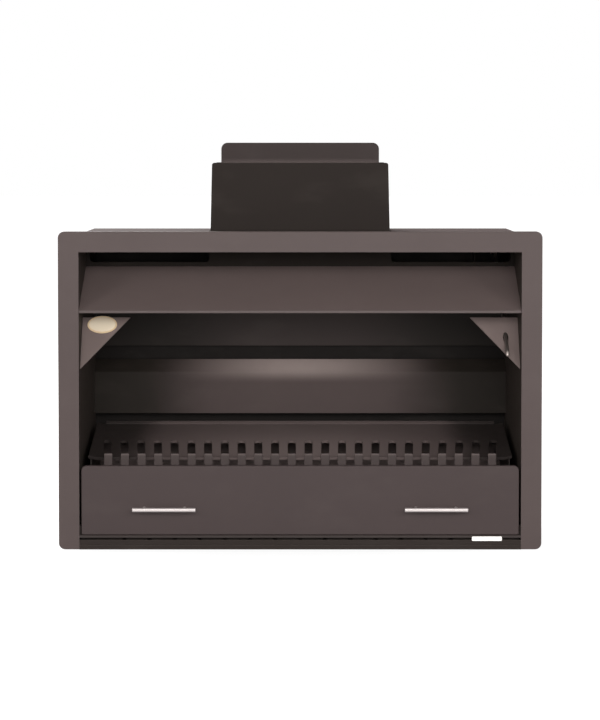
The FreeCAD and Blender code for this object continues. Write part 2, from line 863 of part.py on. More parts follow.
def rod_lay():
    """Hole centre, rod direction towards the handle, and foot of the damper axis on the rod line.

    The rod line touches a circle about the damper axis whose radius is the crank's mean lever arm.
    """
    share = (rod_hole_height - gusset_tip_height) / (gusset_top_height - gusset_tip_height)
    hole_depth = gusset_tip_depth + share * (gusset_top_depth - gusset_tip_depth)
    hole = Vector(rod_position, front_y + hole_depth, rod_hole_height)
    run = hole - axis_point(rod_position)
    arm = crank_radius * (1 + math.cos(half_turn)) / 2
    spread = math.acos(arm / run.Length)
    turn = FreeCAD.Rotation(Vector(1, 0, 0), math.degrees(spread))
    foot = axis_point(rod_position) + turn.multVec(run).normalize() * arm
    return hole, (hole - foot).normalize(), foot


def rod_path(radius):
    """Round cutter along the whole line of the damper rod."""
    hole, along, foot = rod_lay()
    return rod_along(foot, hole + along * rod_reach, radius)


def pin_centre():
    """Centre of the crank pin at rest."""
    hole, along, foot = rod_lay()
    across = (foot - axis_point(rod_position)).normalize()
    return (axis_point(rod_position) + across * crank_radius * math.cos(half_turn)
            + along * crank_radius * math.sin(half_turn))


def damper_crank():
    """Arm on the end of the shaft, with the pin that drives the rod."""
    sideways = Vector(1, 0, 0)
    hub_start = axis_point(crank_inner)
    pin_start = pin_centre()
    pin_start.x = crank_inner
    hub = Part.makeCylinder(crank_hub_radius, crank_sheet, hub_start, sideways)
    end = Part.makeCylinder(crank_arm_width / 2, crank_sheet, pin_start, sideways)
    along = (pin_start - hub_start).normalize()
    across = along.cross(sideways) * (crank_arm_width / 2)
    corners = [hub_start - across, hub_start + across, pin_start + across, pin_start - across]
    arm = Part.Face(Part.makePolygon(corners + corners[:1])).extrude(sideways * crank_sheet)
    pin = Part.makeCylinder(pin_radius, rod_position + eye_sheet / 2 + pin_end - crank_inner,
                            pin_start, sideways)
    bore = Part.makeCylinder(shaft_radius + shaft_fit, crank_sheet + 2 * overrun,
                             axis_point(crank_inner - overrun), sideways)
    return hub.fuse([end, arm, pin]).cut(bore).removeSplitter()


def damper_rod():
    """Rod with a slotted eye at the crank and a bent handle in front of the gusset."""
    hole, along, foot = rod_lay()
    across = (foot - axis_point(rod_position)).normalize()
    middle = foot + along * crank_radius * math.sin(half_turn)
    sway = crank_radius * (1 - math.cos(half_turn)) / 2 + eye_slot_spare
    slot_half = pin_radius + eye_slot_clearance
    eye_long = slot_half + eye_wall
    eye_wide = slot_half + sway + eye_wall

    def slab(half_long, half_wide, thickness):
        start = middle - Vector(thickness / 2, 0, 0)
        corners = [start + along * (half_long * first) + across * (half_wide * second)
                   for first, second in ((-1, -1), (1, -1), (1, 1), (-1, 1))]
        return Part.Face(Part.makePolygon(corners + corners[:1])).extrude(Vector(thickness, 0, 0))

    cutter = slab(slot_half, sway, eye_sheet + 2 * overrun)
    for side in (-1, 1):
        start = middle + across * (side * sway) - Vector(eye_sheet / 2 + overrun, 0, 0)
        end = Part.makeCylinder(slot_half, eye_sheet + 2 * overrun, start, Vector(1, 0, 0))
        cutter = cutter.fuse(end)
    eye = slab(eye_long, eye_wide, eye_sheet)
    bend = hole + along * rod_reach
    tail = bend - Vector(0, 0, rod_drop)
    start = middle + along * slot_half
    arc = corner_arc(start, bend, tail, rod_bend_radius)
    edges = [Part.LineSegment(start, arc[0]).toShape(), Part.Arc(*arc).toShape(),
             Part.LineSegment(arc[2], tail).toShape()]
    ring = Part.Wire(Part.Circle(start, along, rod_radius).toShape())
    bar = Part.Wire(edges).makePipeShell([ring], True, False)
    return eye.fuse([bar, Part.makeSphere(rod_radius, tail)]).cut(cutter).removeSplitter()


pieces = {
    "fascia_frame": fascia_frame(),
    "fascia_edge_left": mirrored(fascia_edge()),
    "fascia_edge_right": fascia_edge(),
    "fascia_edge_top": fascia_edge_top(),
    "side_panel_left": mirrored(side_panel()),
    "side_panel_right": side_panel(),
    "casing_top": casing_top(),
    "back_panel": back_panel(),
    "base_plate": base_plate(),
    "wall_lugs": wall_lugs(),
    "plinth": plinth(),
    "hearth_plate": hearth_plate(),
    "air_inlet_plate": air_inlet_plate(),
    "regulator_keepers": regulator_keepers(),
    "air_regulator": air_regulator(),
    "regulator_tab": regulator_tab(),
    "drawer_front": drawer_front(),
    "tray_floor": tray_floor_plate(),
    "tray_side_left": mirrored(tray_side()),
    "tray_side_right": tray_side(),
    "tray_front_wall": tray_front_wall(),
    "tray_rear_wall": tray_rear_wall(),
    "pull_left": bar_pull(-pull_offset),
    "pull_right": bar_pull(pull_offset),
    "pull_screws": pull_screws(),
    "grate_comb": grate_comb(),
    "grate": grate(),
    "drawer_runner_left": mirrored(drawer_runner()),
    "drawer_runner_right": drawer_runner(),
    "hood": hood(),
    "air_outlet_panel": air_outlet_panel(),
    "firebox_roof": firebox_roof(),
    "fire_back": fire_back(),
    "smoke_plate": smoke_plate(),
    "gusset_left": mirrored(gusset()),
    "gusset_right": gusset_right(),
    "badge_plate": badge_plate(),
    "flue_stub": flue_stub(),
    "damper_bushes": damper_bushes(),
    "shaft_bracket": shaft_bracket(),
    "damper_stop": damper_stop(),
    "damper_shaft": damper_shaft(),
    "damper_blade": damper_blade(),
    "damper_crank": damper_crank(),
    "damper_rod": damper_rod(),
}

os.makedirs("parts", exist_ok=True)
for name, shape in pieces.items():
    shape.exportStep("parts/" + name + ".step")
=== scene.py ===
"""Looks of the built-in open fireplace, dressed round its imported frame.

Metres throughout. The front of the fireplace looks towards -Y and +Z is up.
"""

import logging
import math
from dataclasses import dataclass, field
from enum import Enum
from typing import Any, Callable, Iterable, Optional, Sequence

import bmesh
import bpy
from mathutils import Matrix, Vector


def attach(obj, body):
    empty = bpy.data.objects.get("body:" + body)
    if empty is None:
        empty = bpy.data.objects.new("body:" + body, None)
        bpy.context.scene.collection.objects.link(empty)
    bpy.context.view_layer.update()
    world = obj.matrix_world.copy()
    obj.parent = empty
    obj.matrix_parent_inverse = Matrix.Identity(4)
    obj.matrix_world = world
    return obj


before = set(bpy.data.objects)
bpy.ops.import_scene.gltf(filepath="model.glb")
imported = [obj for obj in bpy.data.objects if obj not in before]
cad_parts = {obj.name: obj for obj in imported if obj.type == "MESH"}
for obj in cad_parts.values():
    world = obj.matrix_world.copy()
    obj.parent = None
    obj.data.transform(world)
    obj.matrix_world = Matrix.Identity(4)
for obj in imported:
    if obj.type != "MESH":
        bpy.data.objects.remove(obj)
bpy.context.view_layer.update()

log = logging.getLogger("fireplace")

Rgb = tuple[float, float, float]
Rgba = tuple[float, float, float, float]
Triple = tuple[float, float, float]
Feeds = dict[Any, Any]
Socket = bpy.types.NodeSocket

MM = 0.001
FRONT_Y = -0.2095

# Meshes: distance at which points are joined, angles in radians, faces round small forms.
JOIN_DISTANCE = 1e-6
SMOOTH_ANGLE = math.radians(32.0)
SHARP_ANGLE = 1.0
BEVEL_SEGMENTS = 3
HEAD_SEGMENTS = 14
HEAD_RINGS = 8

# Colours.
WHITE: Rgba = (1.0, 1.0, 1.0, 1.0)
DUST_TONE: Rgb = (134.0, 124.0, 118.0)
# Colour of the outside faces of the side and back panels; their inside faces are darker, painted
# shade.
OUTSIDE_COLOUR: Rgb = (70.0, 61.0, 58.0)

# The curve of screen colours: its straight foot, and its power above that.
FULL_CHANNEL = 255.0
FOOT_END = 0.04045
FOOT_SLOPE = 12.92
CURVE_OFFSET = 0.055
CURVE_POWER = 2.4

# Sockets of the colour mix node, by number, because its names repeat.
MIX_SHARE, MIX_FIRST, MIX_SECOND, MIX_RESULT = 0, 6, 7, 2


class Body(Enum):
    """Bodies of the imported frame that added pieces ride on."""

    CASING = "casing"


class Slot(Enum):
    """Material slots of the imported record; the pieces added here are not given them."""

    CASING = "casing_paint"
    STEEL = "plain_steel"
    BADGE = "badge_enamel"


class SocketKind(Enum):
    """Socket types that the node groups use."""

    VALUE = "NodeSocketFloat"
    COLOUR = "NodeSocketColor"
    VECTOR = "NodeSocketVector"


def linear(colour: Rgb) -> Rgba:
    """Turns a screen colour into the linear colour that a shader takes.

    Args:
        colour: red, green and blue from 0 to 255.

    Returns:
        Linear red, green, blue and an alpha of one.
    """
    shares = [channel / FULL_CHANNEL for channel in colour]
    bent = [
        share / FOOT_SLOPE if share <= FOOT_END
        else ((share + CURVE_OFFSET) / (1.0 + CURVE_OFFSET)) ** CURVE_POWER
        for share in shares
    ]
    return bent[0], bent[1], bent[2], 1.0


class NodeBench:
    """Adds and joins nodes in one node tree."""

    def __init__(self, tree: bpy.types.NodeTree) -> None:
        """Keeps the tree that the nodes go into.

        Args:
            tree: the node tree.
        """
        self.tree = tree

    def feed(self, node: bpy.types.Node, feeds: Feeds) -> None:
        """Feeds the inputs of a node.

        Args:
            node: the node.
            feeds: a socket or a plain value for each input, by name or number.
        """
        for socket, value in feeds.items():
            if isinstance(value, Socket):
                self.tree.links.new(value, node.inputs[socket])
            else:
                node.inputs[socket].default_value = value

    def add(self, kind: str, feeds: Optional[Feeds] = None, **settings: Any) -> bpy.types.Node:
        """Adds a node, sets it up and feeds its inputs.

        Args:
            kind: Blender's name of the node type.
            feeds: a socket or a plain value for each input, by name or number.
            settings: properties of the node itself.

        Returns:
            The new node.
        """
        node = self.tree.nodes.new(kind)
        for name, value in settings.items():
            setattr(node, name, value)
        self.feed(node, feeds or {})
        return node

    def effect(self, group: bpy.types.NodeTree, feeds: Optional[Feeds] = None) -> bpy.types.Node:
        """Places a shared node group.

        Args:
            group: the group's tree.
            feeds: a socket or a plain value for each of its inputs.

        Returns:
            The group's node.
        """
        return self.add("ShaderNodeGroup", feeds, node_tree=group)

    def place(self) -> Socket:
        """Reads the object coordinates.

        Returns:
            Their socket.
        """
        return self.add("ShaderNodeTexCoord").outputs["Object"]

    def facing(self) -> Socket:
        """Reads the surface's normal.

        Returns:
            Its socket.
        """
        return self.add("ShaderNodeNewGeometry").outputs["Normal"]

    def math(self, operation: str, *values: Any) -> Socket:
        """Does one arithmetic step.

        Args:
            operation: Blender's name of the step.
            values: sockets or plain values.

        Returns:
            The socket of the result.
        """
        node = self.add("ShaderNodeMath", dict(enumerate(values)), operation=operation)
        return node.outputs[0]

    def remainder(self, share: Socket) -> Socket:
        """Takes a share from one.

        Args:
            share: the share.

        Returns:
            The socket of what is left.
        """
        return self.math("SUBTRACT", 1.0, share)

    def dot(self, first: Socket, second: Socket) -> Socket:
        """Multiplies two vectors to a number.

        Args:
            first: one vector.
            second: the other.

        Returns:
            The socket of their dot product.
        """
        node = self.add("ShaderNodeVectorMath", {0: first, 1: second}, operation="DOT_PRODUCT")
        return node.outputs["Value"]

    def stretched(self, vector: Socket, scale: Triple) -> Socket:
        """Scales a vector along each axis.

        Args:
            vector: the vector.
            scale: the scale along X, Y and Z.

        Returns:
            The socket of the scaled vector.
        """
        return self.add("ShaderNodeMapping", {"Vector": vector, "Scale": scale}).outputs[0]

    def noise(self, vector: Socket, scale: Any, detail: float) -> Socket:
        """Reads grey noise.

        Args:
            vector: where it is read.
            scale: its scale, plain or a socket.
            detail: its octaves.

        Returns:
            The socket of the noise.
        """
        feeds = {"Vector": vector, "Scale": scale, "Detail": detail}
        return self.add("ShaderNodeTexNoise", feeds).outputs["Fac"]

    def centred(self, value: Socket, reach: float) -> Socket:
        """Moves noise to swing evenly about zero.

        Args:
            value: noise from zero to one.
            reach: how far it swings in all.

        Returns:
            The socket of the moved noise.
        """
        return self.math("MULTIPLY", self.math("SUBTRACT", value, 0.5), reach)

    def ramp(self, value: Socket, low: Any, high: Any) -> Socket:
        """Steps a value smoothly from zero to one.

        Args:
            value: what is stepped.
            low: the value at which the step starts.
            high: the value at which it ends.

        Returns:
            The socket of the step.
        """
        feeds = {"Value": value, "From Min": low, "From Max": high}
        node = self.add("ShaderNodeMapRange", feeds, interpolation_type="SMOOTHSTEP")
        return node.outputs["Result"]

    def mix(self, share: Any, first: Any, second: Any) -> Socket:
        """Mixes two colours.

        Args:
            share: how much of the second there is.
            first: the colour at a share of zero.
            second: the colour at a share of one.

        Returns:
            The socket of the mixed colour.
        """
        feeds = {MIX_SHARE: share, MIX_FIRST: first, MIX_SECOND: second}
        return self.add("ShaderNodeMix", feeds, data_type="RGBA").outputs[MIX_RESULT]


def new_group(
    name: str, takes: dict[str, SocketKind], gives: dict[str, SocketKind]
) -> tuple[NodeBench, bpy.types.Node, bpy.types.Node]:
    """Starts a shader node group with named sockets.

    Args:
        name: name of the group.
        takes: its inputs.
        gives: its outputs.

    Returns:
        A bench for its tree, its input node and its output node.
    """
    tree = bpy.data.node_groups.new(name, "ShaderNodeTree")
    for socket, kind in takes.items():
        tree.interface.new_socket(name=socket, in_out="INPUT", socket_type=kind.value)
    for socket, kind in gives.items():
        tree.interface.new_socket(name=socket, in_out="OUTPUT", socket_type=kind.value)
    bench = NodeBench(tree)
    return bench, bench.add("NodeGroupInput"), bench.add("NodeGroupOutput")


def new_material(name: str) -> tuple[bpy.types.Material, NodeBench, bpy.types.Node]:
    """Starts a node material.

    Args:
        name: name of the material.

    Returns:
        The material, a bench for its tree and its shader.
    """
    material = bpy.data.materials.new(name)
    material.use_nodes = True
    bench = NodeBench(material.node_tree)
    return material, bench, material.node_tree.nodes["Principled BSDF"]


@dataclass(frozen=True)
class PaintGrain:
    """Satin stove paint: cloudy tone, fine speckle and orange peel."""

    cloud_scale: float = 5.5
    cloud_detail: float = 3.0
    cloud_tone: float = 1.5
    blotch_scale: float = 38.0
    blotch_detail: float = 4.0
    blotch_tone: float = 0.7
    blotch_roughness: float = 0.1
    grain_detail: float = 2.5
    grain_tone: float = 0.9
    grain_roughness: float = 0.14
    grain_height: float = 0.35
    peel_scale_share: float = 0.28
    peel_detail: float = 1.0

    def group(self) -> bpy.types.NodeTree:
        """Builds the node group.

        Returns:
            Its tree.
        """
        bench, takes, gives = new_group(
            "paint_grain",
            {"Colour": SocketKind.COLOUR, "Roughness": SocketKind.VALUE,
             "Variation": SocketKind.VALUE, "Grain": SocketKind.VALUE},
            {"Colour": SocketKind.COLOUR, "Roughness": SocketKind.VALUE,
             "Height": SocketKind.VALUE},
        )
        place, fineness = bench.place(), takes.outputs["Grain"]
        cloud = bench.noise(place, self.cloud_scale, self.cloud_detail)
        blotch = bench.noise(place, self.blotch_scale, self.blotch_detail)
        grain = bench.noise(place, fineness, self.grain_detail)
        coarse = bench.math("MULTIPLY", fineness, self.peel_scale_share)
        peel = bench.noise(place, coarse, self.peel_detail)
        tone = bench.math("ADD", bench.centred(cloud, self.cloud_tone),
                          bench.centred(blotch, self.blotch_tone))
        tone = bench.math("ADD", tone, bench.centred(grain, self.grain_tone))
        tone = bench.math("MULTIPLY_ADD", tone, takes.outputs["Variation"], 1.0)
        shade = bench.add("ShaderNodeVectorMath", {0: takes.outputs["Colour"], "Scale": tone},
                          operation="SCALE")
        rough = bench.math("ADD", takes.outputs["Roughness"],
                           bench.centred(blotch, self.blotch_roughness))
        rough = bench.math("ADD", rough, bench.centred(grain, self.grain_roughness))
        height = bench.math("ADD", bench.math("MULTIPLY", grain, self.grain_height), peel)
        bench.feed(gives, {"Colour": shade.outputs[0], "Roughness": rough, "Height": height})
        return bench.tree


@dataclass(frozen=True)
class EdgeWear:
    """Mask of sharp edges, broken up where they are worn in patches, and their rounded normal."""

    samples: int = 4
    edge_low: float = 0.01
    edge_high: float = 0.2
    patch_scale: float = 90.0
    patch_detail: float = 5.0
    patch_low: float = 0.32
    patch_high: float = 0.62

    def group(self) -> bpy.types.NodeTree:
        """Builds the node group.

        Returns:
            Its tree.
        """
        bench, takes, gives = new_group(
            "edge_wear",
            {"Radius": SocketKind.VALUE, "Patchiness": SocketKind.VALUE},
            {"Mask": SocketKind.VALUE, "Normal": SocketKind.VECTOR},
        )
        patchiness = takes.outputs["Patchiness"]
        rounded = bench.add("ShaderNodeBevel", {"Radius": takes.outputs["Radius"]},
                            samples=self.samples).outputs[0]
        turned = bench.remainder(bench.dot(rounded, bench.facing()))
        edge = bench.ramp(turned, self.edge_low, self.edge_high)
        mottle = bench.noise(bench.place(), self.patch_scale, self.patch_detail)
        patches = bench.ramp(mottle, self.patch_low, self.patch_high)
        broken = bench.math("MULTIPLY_ADD", patches, patchiness, bench.remainder(patchiness))
        bench.feed(gives, {"Mask": bench.math("MULTIPLY", edge, broken), "Normal": rounded})
        return bench.tree


@dataclass(frozen=True)
class BrushedLines:
    """Fine scratch lines along the sideways axis of a brushed bar."""

    stretch: Triple = (0.02, 1.0, 1.0)
    line_detail: float = 4.0
    line_share: float = 0.6
    broad_scale_share: float = 0.2
    broad_detail: float = 2.0
    broad_share: float = 0.4

    def group(self) -> bpy.types.NodeTree:
        """Builds the node group.

        Returns:
            Its tree.
        """
        bench, takes, gives = new_group(
            "brushed_lines", {"Fineness": SocketKind.VALUE},
            {"Lines": SocketKind.VALUE, "Height": SocketKind.VALUE},
        )
        fineness = takes.outputs["Fineness"]
        along = bench.stretched(bench.place(), self.stretch)
        lines = bench.noise(along, fineness, self.line_detail)
        coarse = bench.math("MULTIPLY", fineness, self.broad_scale_share)
        broad = bench.noise(along, coarse, self.broad_detail)
        fine = bench.math("MULTIPLY", lines, self.line_share)
        both = bench.math("MULTIPLY_ADD", broad, self.broad_share, fine)
        bench.feed(gives, {"Lines": both, "Height": lines})
        return bench.tree


@dataclass(frozen=True)
class Handling:
    """Faint rubbed patches and settled dust."""

    smear: Triple = (0.6, 1.0, 1.3)
    patch_scale: float = 11.0
    patch_detail: float = 6.0
    patch_low: float = 0.5
    patch_high: float = 0.75
    speck_scale: float = 520.0
    speck_detail: float = 2.0
    speck_low: float = 0.62
    speck_high: float = 0.8
    speck_share: float = 0.4

    def group(self) -> bpy.types.NodeTree:
        """Builds the node group.

        Returns:
            Its tree.
        """
        bench, takes, gives = new_group(
            "handling", {"Amount": SocketKind.VALUE}, {"Mask": SocketKind.VALUE}
        )
        place = bench.place()
        smears = bench.noise(bench.stretched(place, self.smear), self.patch_scale,
                             self.patch_detail)
        patch = bench.ramp(smears, self.patch_low, self.patch_high)
        dots = bench.noise(place, self.speck_scale, self.speck_detail)
        speck = bench.ramp(dots, self.speck_low, self.speck_high)
        both = bench.math("MULTIPLY_ADD", speck, self.speck_share, patch)
        bench.feed(gives, {"Mask": bench.math("MULTIPLY", both, takes.outputs["Amount"])})
        return bench.tree


@dataclass(frozen=True)
class PaintedLightPool:
    """Painted light on a lining sheet: a broad lighter patch in the middle, and a lighter streak
    across a stretch of height.
    """

    edge_scale: float = 6.0
    edge_detail: float = 3.0
    edge_swing: float = 0.08

    def group(self) -> bpy.types.NodeTree:
        """Builds the node group.

        Returns:
            Its tree.
        """
        bench, takes, gives = new_group(
            "painted_light_pool",
            {"Core": SocketKind.VALUE, "Reach": SocketKind.VALUE, "Streak": SocketKind.VALUE,
             "Low": SocketKind.VALUE, "High": SocketKind.VALUE},
            {"Patch": SocketKind.VALUE, "Streak": SocketKind.VALUE},
        )
        place, given = bench.place(), takes.outputs
        parts = bench.add("ShaderNodeSeparateXYZ", {0: place})
        sideways = bench.math("ABSOLUTE", parts.outputs["X"])
        ragged = bench.noise(place, self.edge_scale, self.edge_detail)
        away = bench.math("ADD", sideways, bench.centred(ragged, self.edge_swing))
        patch = bench.remainder(bench.ramp(away, given["Core"], given["Reach"]))
        above = bench.ramp(parts.outputs["Z"], given["Low"], given["High"])
        near = bench.remainder(bench.ramp(sideways, 0.0, given["Streak"]))
        bench.feed(gives, {"Patch": patch, "Streak": bench.math("MULTIPLY", near, above)})
        return bench.tree


@dataclass(frozen=True)
class InsideShadeMask:
    """Mask of sheet faces that look away from the middle of the casing; faces that look inwards
    keep a darker colour, which is painted shade inside the firebox.
    """

    level_axes: Triple = (1.0, 1.0, 0.0)
    low: float = 0.02
    high: float = 0.1

    def group(self) -> bpy.types.NodeTree:
        """Builds the node group.

        Returns:
            Its tree.
        """
        bench, _, gives = new_group("inside_painted_shade", {}, {"Mask": SocketKind.VALUE})
        level = bench.add("ShaderNodeVectorMath", {0: bench.place(), 1: self.level_axes},
                          operation="MULTIPLY").outputs[0]
        outward = bench.dot(level, bench.facing())
        bench.feed(gives, {"Mask": bench.ramp(outward, self.low, self.high)})
        return bench.tree


class Effects:
    """Shared surface effects, each one node group that is built once."""

    def __init__(self) -> None:
        """Builds every group."""
        self.paint_grain = PaintGrain().group()
        self.edge_wear = EdgeWear().group()
        self.brushed_lines = BrushedLines().group()
        self.handling = Handling().group()
        self.painted_light_pool = PaintedLightPool().group()
        self.inside_painted_shade = InsideShadeMask().group()


@dataclass(frozen=True)
class PaintedLight:
    """Painted light on a lining sheet: colours and reach of its lighter middle patch and streak.
    """

    patch: Rgb
    streak: Rgb
    core: float
    reach: float
    streak_reach: float = 0.36
    streak_low: float = 0.355
    streak_high: float = 0.395


@dataclass(frozen=True)
class PaintedLightBand:
    """Stretch of height in the worn colour, full at one height and gone at another; it paints a
    highlight on the comb and shade on the hood.
    """

    full: float
    gone: float


@dataclass(frozen=True)
class SatinPaint:
    """Heat-resistant paint on sheet steel."""

    name: str
    colour: Rgb
    worn: Rgb
    roughness: float = 0.46
    variation: float = 0.1
    grain: float = 1500.0
    peel: float = 0.1
    peel_depth: float = 0.0004
    wear_radius: float = 0.0012
    wear_share: float = 0.35
    wear_polish: float = 0.12
    patchiness: float = 0.5
    dust: float = 0.04
    sheen_level: float = 0.16
    painted_light: Optional[PaintedLight] = None
    painted_band: Optional[PaintedLightBand] = None
    outer: Optional[Rgb] = None

    def tone_with_painted_light(self, bench: NodeBench, effects: Effects) -> Any:
        """Paint colour, with painted light in its middle, or with painted shade on its inner faces
        and another colour outside.

        Args:
            bench: adds the nodes.
            effects: the shared node groups.

        Returns:
            A plain colour, or the socket of a colour that changes over the sheet.
        """
        base = linear(self.colour)
        if self.outer is not None:
            # Inner faces keep the darker base colour: painted shade inside the firebox.
            outside = bench.effect(effects.inside_painted_shade)
            return bench.mix(outside.outputs["Mask"], base, linear(self.outer))
        if self.painted_light is None:
            return base
        # Painted light: a lighter middle patch and a lighter streak.
        light_pool = bench.effect(effects.painted_light_pool, {
            "Core": self.painted_light.core, "Reach": self.painted_light.reach,
            "Streak": self.painted_light.streak_reach,
            "Low": self.painted_light.streak_low, "High": self.painted_light.streak_high,
        })
        tone = bench.mix(light_pool.outputs["Patch"], base, linear(self.painted_light.patch))
        return bench.mix(light_pool.outputs["Streak"], tone, linear(self.painted_light.streak))

    def wear_and_painted_band(self, bench: NodeBench, effects: Effects) -> tuple[Socket, Socket]:
        """Share of worn tone along the edges, and of painted light over a stretch of height.

        Args:
            bench: adds the nodes.
            effects: the shared node groups.

        Returns:
            The socket of the share, and the socket of the normal that rounds the edges.
        """
        edges = bench.effect(effects.edge_wear, {
            "Radius": self.wear_radius, "Patchiness": self.patchiness,
        })
        share = bench.math("MULTIPLY", edges.outputs["Mask"], self.wear_share)
        # Painted light: the worn colour over a stretch of height.
        if self.painted_band is not None:
            height = bench.add("ShaderNodeSeparateXYZ", {0: bench.place()}).outputs["Z"]
            painted_band = bench.ramp(height, self.painted_band.gone, self.painted_band.full)
            share = bench.math("MAXIMUM", share, painted_band)
        return share, edges.outputs["Normal"]

    def build(self, effects: Effects) -> bpy.types.Material:
        """Makes the paint's material.

        Args:
            effects: the shared node groups.

        Returns:
            The new material.
        """
        material, bench, shader = new_material(self.name)
        grain = bench.effect(effects.paint_grain, {
            "Colour": self.tone_with_painted_light(bench, effects), "Roughness": self.roughness,
            "Variation": self.variation, "Grain": self.grain,
        })
        dusty = bench.effect(effects.handling, {"Amount": self.dust})
        share, rounded = self.wear_and_painted_band(bench, effects)
        tone = bench.mix(share, grain.outputs["Colour"], linear(self.worn))
        tone = bench.mix(dusty.outputs["Mask"], tone, linear(DUST_TONE))
        polish = bench.math("MULTIPLY", share, self.wear_polish)
        rough = bench.math("SUBTRACT", grain.outputs["Roughness"], polish)
        bump = bench.add("ShaderNodeBump", {
            "Height": grain.outputs["Height"], "Strength": self.peel,
            "Distance": self.peel_depth, "Normal": rounded,
        })
        bench.feed(shader, {
            "Specular IOR Level": self.sheen_level, "Base Color": tone,
            "Roughness": rough, "Normal": bump.outputs[0],
        })
        return material


@dataclass(frozen=True)
class BrushedMetal:
    """Bare metal with drawn or brushed lines."""

    name: str
    colour: Rgb
    dark: Rgb
    roughness: float = 0.3
    line_share: float = 0.4
    line_roughness: float = 0.16
    line_depth: float = 0.0002
    fineness: float = 2600.0
    bump: float = 0.12
    rub: float = 0.12

    def build(self, effects: Effects) -> bpy.types.Material:
        """Makes the metal's material.

        Args:
            effects: the shared node groups.

        Returns:
            The new material.
        """
        material, bench, shader = new_material(self.name)
        lines = bench.effect(effects.brushed_lines, {"Fineness": self.fineness})
        rubbed = bench.effect(effects.handling, {"Amount": self.rub})
        share = bench.math("MULTIPLY", lines.outputs["Lines"], self.line_share)
        tone = bench.mix(share, linear(self.colour), linear(self.dark))
        rough = bench.math("MULTIPLY_ADD", lines.outputs["Lines"], self.line_roughness,
                           self.roughness - self.line_roughness / 2)
        rough = bench.math("ADD", rough, rubbed.outputs["Mask"])
        bump = bench.add("ShaderNodeBump", {
            "Height": lines.outputs["Height"], "Strength": self.bump,
            "Distance": self.line_depth,
        })
        bench.feed(shader, {
            "Metallic": 1.0, "Base Color": tone, "Roughness": rough, "Normal": bump.outputs[0],
        })
        return material


